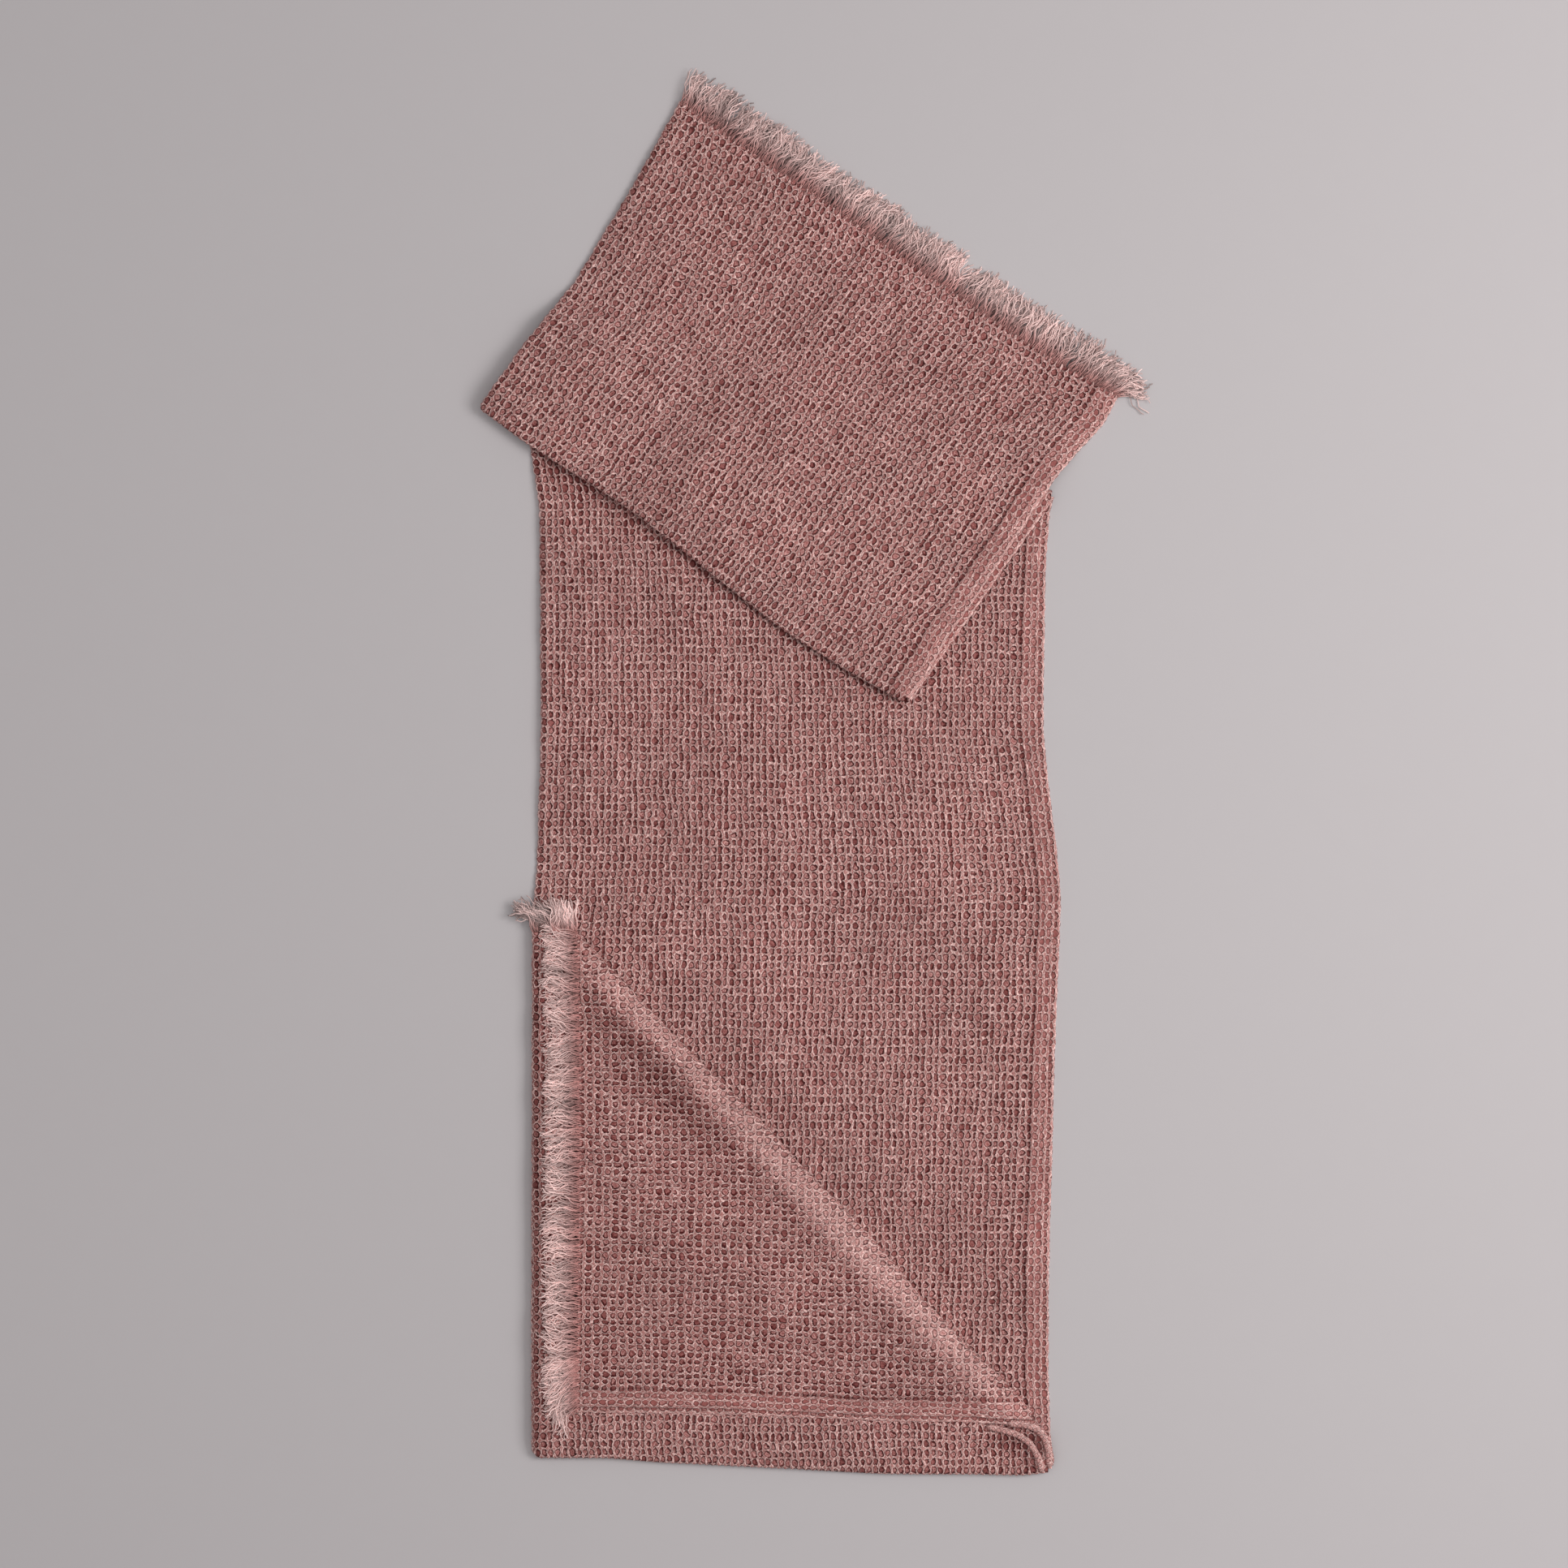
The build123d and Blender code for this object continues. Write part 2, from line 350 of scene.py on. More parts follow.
def cell_shade(run, upper, cu, cv, u, v, xy):
    """How dark the painted shade in the pits is, and how much lighter or darker the cloth is.
    Narrow cells get darker pits, the ridge's crest gets a painted highlight, the hems' outer edges
    are lighter, and the creases, the hollow beside the ridge and the cloth by the curled hems get
    painted shade."""
    iu, iv = np.floor(cu), np.floor(cv)
    middle_u = (iu + 0.5 - run.offset[0]) * CELL_U
    middle_v = (iv + 0.5 - run.offset[1]) * CELL_V
    narrow = wander(middle_u, middle_v) * np.cos(math.pi * iu)
    shade = 0.5 + (0.04 if run is flap else 0.12) * narrow
    # lighter along the outer edge of each hem
    tone = 0.16 * smooth((u - WIDTH + 2.2) / 2)
    seam = WIDTH - STAGGER - HEM - 0.6
    if upper:
        tone = tone - 0.22 * bell(u, seam, 1.1) * (1 + noise(u, v, 7, 12))
    # the lower layer's hem strip that shows past the upper one is lighter, with fainter pits
    if run is top and not upper:
        bare = smooth((u - WIDTH + STAGGER + 1) / 1.5)
        tone = tone + 0.16 * bare
        shade = shade - 0.5 * bare
    if run is flap and upper:
        d = ridge_flap.distance(xy)
        lengthwise = (xy - ridge_flap.start) @ ridge_flap.along
        span = smooth((lengthwise - 5) / 60) * smooth((423 - lengthwise) / 90)
        # painted highlight on the ridge's crest, which faces the key light, and painted shade in
        # the hollow beside it
        crest = bell(d, 5, 11) * (0.35 + 0.65 * span)
        hollow_shade = oval(xy, HOLLOW_SHADE_AT, 62, 15, ridge_flap)
        shade = shade - 0.16 * crest + 0.15 * hollow_shade
        tone = tone + 0.29 * crest - 0.2 * hollow_shade - 0.04
    # painted shade along crease two, where the top run's fold shades the main run
    if run is main and upper:
        past_end = (xy - two_main.start) @ two_main.along - TWO_LENGTH
        crease = np.exp(-np.abs(two_main.distance(xy) - 3) / 6) * smooth(0.2 - past_end / 12)
        shade = shade + 0.2 * crease
        tone = tone - 0.2 * crease
    # painted shade under the curled hems, between them, and on the turn-up's left strip beside the
    # flap
    if run is turn_up and upper:
        under_curl_shade = oval(xy, UNDER_CURL_AT, 6, 15, main_left)
        between = oval(xy, BETWEEN_CURLS_AT, 10, 7, main_left)
        left_strip_shade = smooth((-165 - xy[..., 0]) / 4) * smooth((-98 - xy[..., 1]) / 6)
        tone = tone - 0.35 * under_curl_shade - 0.6 * between - 0.2 * left_strip_shade
        shade = shade + 0.3 * under_curl_shade
    return np.stack([shade, tone], -1)


def mesh_object(name, xyz, faces, uv, material, shade):
    """A smooth-shaded mesh object from millimetres, with cell coordinates in one UV map, and the
    pits' painted shade and the cloth's tone, much of it painted light and shade, in a second one.
    Vertices that no face uses are dropped."""
    used = np.unique(faces)
    renumber = np.zeros(xyz.size // 3, int)
    renumber[used] = np.arange(len(used))
    faces = renumber[faces]
    xyz, uv, shade = xyz.reshape(-1, 3)[used], uv.reshape(-1, 2)[used], shade.reshape(-1, 2)[used]
    mesh = bpy.data.meshes.new(name)
    mesh.vertices.add(len(xyz))
    mesh.vertices.foreach_set("co", (xyz * MM).astype(np.float32).ravel())
    sides = faces.shape[1]
    mesh.loops.add(faces.size)
    mesh.loops.foreach_set("vertex_index", faces.astype(np.int32).ravel())
    mesh.polygons.add(len(faces))
    mesh.polygons.foreach_set("loop_start", np.arange(0, faces.size, sides, dtype=np.int32))
    mesh.polygons.foreach_set("use_smooth", np.ones(len(faces), bool))
    layer = mesh.uv_layers.new(name="weave")
    layer.data.foreach_set("uv", uv[faces.ravel()].astype(np.float32).ravel())
    second = mesh.uv_layers.new(name="shade")
    second.data.foreach_set("uv", shade[faces.ravel()].astype(np.float32).ravel())
    mesh.update(calc_edges=True)
    mesh.validate()
    mesh.materials.append(material)
    piece = bpy.data.objects.new(name, mesh)
    scene.collection.objects.link(piece)
    return piece


def grid_faces(rows, columns, wrap=False):
    index = np.arange(rows * columns).reshape(rows, columns)
    if wrap:
        index = np.vstack([index, index[:1]])
    a, b = index[:-1, :-1], index[1:, :-1]
    c, d = index[1:, 1:], index[:-1, 1:]
    return np.stack([a, b, c, d], -1).reshape(-1, 4)


def stops(low, high, cell, fractions, offset):
    """Grid coordinates from low to high that fall on the given fractions of each cell."""
    first, last = math.floor(low / cell + offset), math.ceil(high / cell + offset)
    values = (np.arange(first, last)[:, None] + np.array(fractions)).ravel() - offset
    values = values * cell
    inside = values[(values > low + 0.25) & (values < high - 0.25)]
    return np.concatenate([[low], inside, [high]])


def snap(run, u, v, lines, slide=False):
    """Moves cloth points that lie beyond a line back onto it."""
    for line in lines * 3:
        short = np.minimum(line.distance(run.plan(u, v)), 0)
        if slide:
            v = v - short / (line.inward @ run.along)
        else:
            u = u - short * (line.inward @ run.across)
            v = v - short * (line.inward @ run.along)
    return u, v


def panel(name, run, upper, us, vs, lines, height, material, wrap=False, shifts=False,
          bulge=None):
    """A piece on a grid of the run, cut off along lines. height(k, u, v, xy) gives z, bulge(k,
    u, v) a shift across the run, and k is the number of the grid line across."""
    u, v = np.meshgrid(us, vs, indexing="ij")
    k = np.broadcast_to(np.arange(len(us))[:, None], u.shape)
    xy = run.plan(u, v)
    inside = np.ones(u.shape, bool)
    for line in lines:
        inside &= line.distance(xy) > 0
    faces = grid_faces(*u.shape, wrap=wrap)
    faces = faces[inside.ravel()[faces].any(1)]
    u, v = snap(run, u, v, lines)
    xy = run.plan(u, v)
    z = height(k, u, v, xy)
    cu, cv = cells(u, v, run)
    shade = cell_shade(run, upper, cu, cv, u, v, xy)
    if shifts:
        still = smooth(np.minimum(u - us[0], us[-1] - u) / 4)
        for line in lines:
            still = still * smooth(line.distance(xy) / 4)
        xy = xy + weave_shift(run, cu, cv, u, v) * still[..., None]
    if bulge:
        xy = xy + bulge(k, u, v)[..., None] * run.across
    z = np.maximum(z, CLEARANCE)
    xyz = np.concatenate([xy, z[..., None]], -1)
    return mesh_object(name, xyz, faces, np.stack([cu, cv], -1), material, shade)


def edge_width(run, upper):
    """How far from the spine a layer's hem ends."""
    return WIDTH if upper == run.wide_upper else WIDTH - STAGGER


def layer_piece(name, run, upper, v_range, lines):
    """The waffle cloth of one layer, from the spine to the inner edge of the hem. It has fine
    cells where it can be seen."""
    fine = upper and run is not middle
    u_low = FLAP_START if run is flap else SPINE
    high = edge_width(run, upper) - HEM
    split_u, split_v = (FINE_U, FINE_V) if fine else (COARSE, COARSE)
    us = stops(u_low, high, CELL_U, split_u, run.offset[0])
    vs = stops(*v_range, CELL_V, split_v, run.offset[1])

    def height(k, u, v, xy):
        bumps = relief(*cells(u, v, run), LAYER_RELIEF if fine else 0.6 * LAYER_RELIEF)
        seam = 0.22 * smooth((u - high + 3) / 3)
        return rise(run, upper, xy) + bumps - seam

    material = FLAP_WAFFLE if run is flap else WAFFLE
    return panel(name, run, upper, us, vs, lines, height, material, shifts=fine)


def hem_piece(name, run, upper, v_range, lines):
    """The turned hem: a flattened closed band with a rounded outer edge."""
    high = edge_width(run, upper)
    low = high - HEM
    flat_end = high - HEM_EDGE
    top_us = stops(low, flat_end, CELL_U, FINE_U, run.offset[0])
    round_turn = np.linspace(60, -60, 4) * math.pi / 180
    us = np.concatenate([top_us, flat_end + HEM_EDGE * np.cos(round_turn), [flat_end, low]])
    depth = np.concatenate([
        np.full(len(top_us), 0.12), -0.75 + HEM_EDGE * np.sin(round_turn), [-1.45, -1.45]
    ])
    face = np.concatenate([np.ones(len(top_us)), np.zeros(len(us) - len(top_us))])
    vs = stops(*v_range, CELL_V, FINE_V, run.offset[1])

    def height(k, u, v, xy):
        bumps = relief(*cells(u, v, run), HEM_RELIEF) * face[k]
        edge = smooth((u - low) / 1.2) * 0.35 - 0.25
        waves = 0.25 * noise(u, v, 9, 11)
        base = rise(run, upper, xy)
        return base + depth[k] + bumps + edge * face[k] + waves

    def bulge(k, u, v):
        outer = smooth((u - high + 2) / 2)
        return outer * (0.35 * np.abs(np.sin(math.pi * v / CELL_V)) + 0.3 * noise(u, v, 4, 6))

    return panel(name, run, upper, us, vs, lines, height, HEM_CLOTH, wrap=True, bulge=bulge)


def spine_piece(name, run, v_range, lines):
    """The lengthwise fold, from the lower layer round to the upper one."""
    turn = np.linspace(-90, 90, 9) * math.pi / 180
    us = SPINE * (1 - np.cos(turn))
    share = (np.sin(turn) + 1) / 2
    vs = stops(*v_range, CELL_V, FINE_V, run.offset[1])

    def height(k, u, v, xy):
        low, high = rise(run, False, xy), rise(run, True, xy)
        bumps = relief(*cells(u + 0.35 * k, v, run), SPINE_RELIEF)
        bumps = bumps * np.clip(share[k] * 2 - 1, 0, 1)
        return low + (high - low) * share[k] + bumps

    def bulge(k, u, v):
        round_out = np.cos(turn)[k] ** 2
        return -round_out * (0.7 * np.abs(np.sin(math.pi * v / CELL_V)) + 0.4 * noise(u, v, 4, 6))

    return panel(name, run, True, us, vs, lines, height, WAFFLE, bulge=bulge)


def along_line(run, us, line):
    """Where the grid lines at us meet a line: their v and their (x, y)."""
    v = np.full(len(us), 0.0)
    for _ in range(12):
        v = v - line.distance(run.plan(us, v)) / (line.inward @ run.along)
    return v, run.plan(us, v)


def fold_piece(name, run, line, start, out, low, high, steps, depth, open_end):
    """Cloth that turns back at a fold, as far out as given, between two layers that are given as
    run and upper. start holds u, v and (x, y) on the line. It closes to a point at the spine,
    unless open_end is set."""
    us, v, xy = start
    z_low, z_high = rise(*low, xy), rise(*high, xy)
    t = np.linspace(0, 1, steps)[:, None]
    centre, half = (z_low + z_high) / 2, (z_high - z_low) / 2
    if not open_end:
        narrow = np.sqrt(np.clip(1 - np.clip(1 - us / 3.0, 0, 1) ** 2, 0, 1))
        half, out = half * narrow, out * narrow
    angle = math.pi * t
    arc = math.pi * np.sqrt((half**2 + out**2) / 2) * (1 - t)
    cu = (us + arc * -(line.inward @ run.across)) / CELL_U + run.offset[0]
    cv = (v + arc * -(line.inward @ run.along)) / CELL_V + run.offset[1]
    bumps = relief(cu, cv, depth) * smooth(np.minimum(t, 1.25 - t) * 4)
    away = out * np.sin(angle) + bumps * np.sin(angle)
    z = np.maximum(centre - half * np.cos(angle) - bumps * np.cos(angle), CLEARANCE)
    where = xy[None] - away[..., None] * line.inward
    xyz = np.concatenate([where, z[..., None]], -1)
    shade = cell_shade(run, True, cu, cv, us[None] + 0 * cu, v[None] + 0 * cv, where)
    return mesh_object(name, xyz, grid_faces(*cu.shape), np.stack([cu, cv], -1), WAFFLE, shade)


# ---------------- threads

def tubes(name, paths, radius, material, tone=0.0):
    """Threads as square tubes along paths, an array of threads by points by xyz."""
    sides = 4
    count, points = paths.shape[:2]
    ahead = np.gradient(paths, axis=1)
    ahead /= np.linalg.norm(ahead, axis=2, keepdims=True)
    side = np.cross(ahead, [0.0, 0.0, 1.0])
    side /= np.maximum(np.linalg.norm(side, axis=2, keepdims=True), 1e-6)
    top_way = np.cross(side, ahead)
    around = np.arange(sides) * 2 * math.pi / sides
    ring = radius * (
        side[:, :, None] * np.cos(around)[None, None, :, None]
        + top_way[:, :, None] * np.sin(around)[None, None, :, None]
    )
    start = (np.arange(count) * points * sides)[:, None, None]
    row = (np.arange(points - 1) * sides)[None, :, None]
    a = np.arange(sides)[None, None, :]
    b = (a + 1) % sides
    faces = np.stack([
        np.broadcast_to(start + row + i, (count, points - 1, sides))
        for i in (a, b, b + sides, a + sides)
    ], -1).reshape(-1, 4)
    first = (np.arange(count) * points * sides)[:, None] + np.array([3, 2, 1, 0])
    last = first[:, ::-1] + (points - 1) * sides
    faces = np.vstack([faces, first, last])
    lengthwise = np.broadcast_to(np.linspace(0, 1, points)[None, :, None], (count, points, sides))
    which = np.broadcast_to(np.arange(count)[:, None, None] * 1.0, lengthwise.shape)
    uv = np.stack([which, lengthwise], -1)
    shade = np.broadcast_to([0.5, tone], uv.shape)
    return mesh_object(name, paths[:, :, None] + ring, faces, uv, material, shade)


def fringe_piece(name, roots, outward, length, drop, seed, lean, fan, tone, clump):
    """Loose warp ends in clumps that are clump wide. roots is an array of xyz, and drop the
    height lost at each tip. lean, and fan from root to root, turn a thread away from outward."""
    draw = np.random.default_rng(seed)
    count, points = len(roots), 12
    outward = np.asarray(outward, float)
    sideways = np.array([outward[1], -outward[0]])
    run_along = (roots[:, :2] - roots[0, :2]) @ sideways
    centres = np.arange(run_along.min() - clump, run_along.max() + clump, clump)
    centres = centres + draw.uniform(-0.35, 0.35, len(centres)) * clump
    own = np.abs(run_along[:, None] - centres[None]).argmin(1)
    pull = (centres[own] - run_along) / 45
    turn = lean + fan + draw.normal(0, 0.2, len(centres))[own] + draw.normal(0, 0.15, count)
    phase = draw.uniform(0, 2 * math.pi, len(centres))[own] + draw.normal(0, 0.6, count)
    own_phase = draw.uniform(0, 2 * math.pi, (3, count, 1))
    t = np.linspace(0, 1, points)[None]
    # which way a thread heads: its clump's turn and swing, and a long and a short wave of its own
    heading = turn[:, None] * (0.35 + 0.65 * smooth(t * 1.4)) + pull[:, None] * smooth(t * 1.2)
    heading = heading + 0.42 * np.sin(2 * math.pi * t * 0.8 + phase[:, None]) * smooth(t * 2)
    heading = heading + 0.34 * np.sin(2 * math.pi * t * 1.5 + own_phase[0])
    heading = heading + 0.42 * np.sin(2 * math.pi * t * 3.3 + own_phase[1]) * t
    reach = length * draw.uniform(0.9, 1.05, len(centres))[own] * draw.uniform(0.82, 1.1, count)
    step = reach[:, None] / (points - 1)
    ahead = np.cumsum(step * np.cos(heading), 1) - step * np.cos(heading)
    aside = np.cumsum(step * np.sin(heading), 1) - step * np.sin(heading)
    z = roots[:, 2:3] - drop[:, None] * smooth(t * 1.25)
    z = z + draw.uniform(-0.3, 1.3, count)[:, None] * np.sin(math.pi * np.minimum(t * 1.1, 1))
    z = z + 0.3 * np.sin(2 * math.pi * t * 2 + own_phase[2]) * t
    z = np.maximum(z, 0.35)
    xy = roots[:, None, :2] + ahead[..., None] * outward + aside[..., None] * sideways
    paths = np.concatenate([xy, z[..., None]], -1)
    return tubes(name, paths, FRINGE_RADIUS, FRINGE_THREAD, tone=tone)


def curl_piece(name, points, heights, width):
    """A hem's free edge that curls over, as a flattened roll along points. heights are those of
    its two ends."""
    points = np.array(points, float)
    run_length = np.concatenate([[0], np.cumsum(np.linalg.norm(np.diff(points, axis=0), axis=1))])
    sides, steps = 16, 60
    dense = np.linspace(0, run_length[-1], steps)
    path = np.stack([np.interp(dense, run_length, points[:, i]) for i in (0, 1)], -1)
    for _ in range(10):
        path[1:-1] = (path[:-2] + 2 * path[1:-1] + path[2:]) / 4
    ahead = np.gradient(path, axis=0)
    ahead /= np.linalg.norm(ahead, axis=1, keepdims=True)
    side = np.stack([ahead[:, 1], -ahead[:, 0]], -1)
    around = np.linspace(0, 2 * math.pi, sides, endpoint=False)[:, None]
    close = smooth(np.minimum(dense, dense[-1] - dense) / 3)
    level = np.interp(dense, [0, dense[-1]], heights)
    bumps = 0.25 * noise(around * 2, dense[None] + 0 * around, 1.7, 9)
    xy = path[None] + (np.cos(around) * (width / 2 + bumps) * close)[..., None] * side[None]
    z = level[None] + np.sin(around) * (CURL_THICKNESS / 2 + bumps) * close
    xyz = np.concatenate([xy, z[..., None]], -1)
    uv = np.stack([around * width / 9 + 0 * dense[None], dense[None] / 3.4 + 0 * around], -1)
    # lighter on the roll's upper side and darker below: painted light and shade
    tone = np.broadcast_to(0.1 + 0.2 * np.sin(around), bumps.shape)
    shade = np.stack([0.1 + 0 * tone, tone], -1)
    faces = grid_faces(sides, steps, wrap=True)
    return mesh_object(name, xyz, faces, uv, HEM_CLOTH, shade)


def fringe_roots(run, upper, u_range, v_end, pitch, seed, corner):
    """Places where threads start, evenly but for some more in the tuft at the hem's corner."""
    draw = np.random.default_rng(seed)
    us = np.arange(*u_range, pitch)
    us = np.sort(np.concatenate([us, us[-1] - draw.uniform(0, corner, int(3 * corner))]))
    us = us + draw.uniform(-0.4, 0.4, len(us)) * pitch
    vs = v_end + draw.uniform(-1.8, 0.2, len(us))
    xy = run.plan(us, vs)
    z = rise(run, upper, xy) + draw.uniform(-0.3, 0.35, len(us))
    return us, np.concatenate([xy, z[:, None]], -1)


def stitch_piece(name, run, us, vs, along_u, lines=()):
    """A row of stitches on an upper layer: threads that dip into the cloth at both ends."""
    us, vs = np.broadcast_arrays(us, vs)
    for line in lines:
        keep = line.distance(run.plan(us, vs)) > 4
        us, vs = us[keep], vs[keep]
    t = np.linspace(-0.5, 0.5, 6)[None]
    u = us[:, None] + STITCH * t * along_u
    v = vs[:, None] + STITCH * t * (not along_u)
    xy = run.plan(u, v)
    z = rise(run, True, xy) + 0.45 - 1.2 * (2 * t) ** 4
    paths = np.concatenate([xy, z[..., None]], -1)
    return tubes(name, paths, SEWING_RADIUS, SEWING_THREAD)


# ---------------- materials

class Nodes:
    """Short names for building a material's node tree."""

    def __init__(self, name):
        self.material = bpy.data.materials.new(name)
        self.material.use_nodes = True
        self.tree = self.material.node_tree
        self.tree.nodes.clear()
        self.shader = self.node("ShaderNodeBsdfPrincipled")
        output = self.node("ShaderNodeOutputMaterial")
        self.link(self.shader.outputs["BSDF"], output.inputs["Surface"])

    def node(self, kind, **settings):
        made = self.tree.nodes.new(kind)
        for key, value in settings.items():
            setattr(made, key, value)
        return made

    def link(self, source, target):
        self.tree.links.new(source, target)

    def put(self, target, value):
        if isinstance(value, (int, float, tuple)):
            target.default_value = value
        else:
            self.link(value, target)

    def surface(self, **inputs):
        """Sets or links the shader's inputs. An underscore stands for a space."""
        for name, value in inputs.items():
            self.put(self.shader.inputs[name.replace("_", " ")], value)

    def math(self, operation, *values):
        made = self.node("ShaderNodeMath", operation=operation)
        for target, value in zip(made.inputs, values):
            self.put(target, value)
        return made.outputs[0]

    def ramp(self, value, low, high, out_low=0.0, out_high=1.0):
        made = self.node("ShaderNodeMapRange", interpolation_type="SMOOTHSTEP")
        for target, given in zip(made.inputs, (value, low, high, out_low, out_high)):
            self.put(target, given)
        return made.outputs[0]

    def vector(self, x, y, z=0.0):
        made = self.node("ShaderNodeCombineXYZ")
        for target, given in zip(made.inputs, (x, y, z)):
            self.put(target, given)
        return made.outputs[0]

    def noise_node(self, vector, **settings):
        made = self.node("ShaderNodeTexNoise")
        self.link(vector, made.inputs["Vector"])
        for key, value in settings.items():
            made.inputs[key.capitalize()].default_value = value
        return made

    def noise(self, vector, scale, detail):
        return self.noise_node(vector, scale=scale, detail=detail).outputs["Fac"]

    def noises(self, vector, scale, detail, roughness=0.5):
        """Three noises around zero."""
        made = self.noise_node(vector, scale=scale, detail=detail, roughness=roughness)
        split = self.node("ShaderNodeSeparateColor")
        self.link(made.outputs["Color"], split.inputs[0])
        return [self.math("SUBTRACT", part, 0.5) for part in split.outputs]

    def sum(self, *terms):
        """Sum of value and weight pairs, and of single numbers or values."""
        total = None
        for term in terms:
            part = self.math("MULTIPLY", *term) if isinstance(term, tuple) else term
            total = part if total is None else self.math("ADD", total, part)
        return total

    def product(self, *factors):
        total = factors[0]
        for factor in factors[1:]:
            total = self.math("MULTIPLY", total, factor)
        return total

    def chance(self, vector):
        made = self.node("ShaderNodeTexWhiteNoise", noise_dimensions="3D")
        self.link(vector, made.inputs["Vector"])
        return made.outputs["Value"]

    def mix(self, share, a, b):
        made = self.node("ShaderNodeMix", data_type="RGBA")
        self.put(made.inputs[0], share)
        self.put(made.inputs[6], a)
        self.put(made.inputs[7], b)
        return made.outputs[2]

    def scale(self, colour, factor):
        made = self.node("ShaderNodeVectorMath", operation="SCALE")
        self.put(made.inputs[0], colour)
        self.put(made.inputs["Scale"], factor)
        return made.outputs[0]

    def bump(self, height, distance, strength=1.0, under=None):
        made = self.node("ShaderNodeBump")
        made.inputs["Strength"].default_value = strength
        made.inputs["Distance"].default_value = distance
        self.link(height, made.inputs["Height"])
        if under is not None:
            self.link(under, made.inputs["Normal"])
        return made.outputs[0]

    def uv(self, name):
        return self.node("ShaderNodeUVMap", uv_map=name).outputs[0]

    def split(self, vector):
        """The first two parts of a vector."""
        made = self.node("ShaderNodeSeparateXYZ")
        self.link(vector, made.inputs[0])
        return made.outputs[0], made.outputs[1]

    def clamp(self, value):
        return self.math("MINIMUM", self.math("MAXIMUM", value, 0.0), 1.0)


def srgb(r, g, b):
    parts = [c / 255 for c in (r, g, b)]
    linear = [c / 12.92 if c <= 0.04045 else ((c + 0.055) / 1.055) ** 2.4 for c in parts]
    return (*linear, 1.0)


# light yarn, and the painted highlight on the walls and the ridge's crest
LIGHT_YARN_AND_HIGHLIGHT = srgb(253, 209, 202)
BAND = srgb(173, 113, 108)  # the yarns between the pits
# a little darker in the pits: painted shade of the recess
SHADED_PIT = srgb(164, 98, 94)
# painted shade deep in the pits
DEEP_PIT_SHADE = srgb(84, 27, 26)


